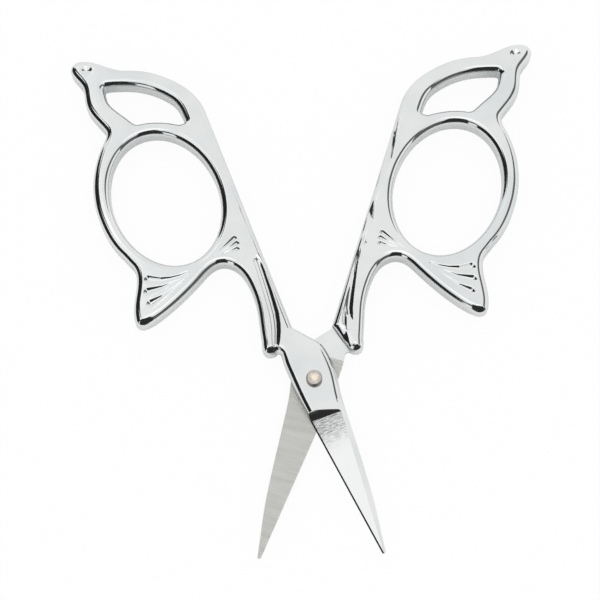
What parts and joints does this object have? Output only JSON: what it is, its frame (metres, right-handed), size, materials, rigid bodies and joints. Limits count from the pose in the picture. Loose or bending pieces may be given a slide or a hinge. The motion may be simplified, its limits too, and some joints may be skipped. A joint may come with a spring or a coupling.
{
  "type": "embroidery scissors",
  "caption": "Small chrome-plated embroidery scissors with winged handles, open wing windows, oval finger holes and short pointed blades on one pivot.",
  "frame": {"origin": "where the pivot's axis meets the plane that the backs of both halves rest on", "axes": "+Z along the pivot's axis, out of the front face; +Y up the centre line towards the handles, so the blades point to -Y; +X towards the rear half's handle"},
  "size_m": [0.0936, 0.1028, 0.0055],
  "materials": {
    "plated_steel": "bright polished chrome plating, with the blades ground after it",
    "bare_steel": "smooth unplated end, pale and slightly warm"
  },
  "bodies": {
    "rear_half": {"rear_half": "plated_steel"},
    "front_half": {"front_half": "plated_steel", "pivot_rivet": "bare_steel"}
  },
  "joints": [
    {"name": "blade_pivot", "type": "hinge", "parent": "rear_half", "child": "front_half", "pos_m": [0, 0, 0], "axis": [0, 0, 1], "range_deg": [-37.5, 52.5]}
  ]
}
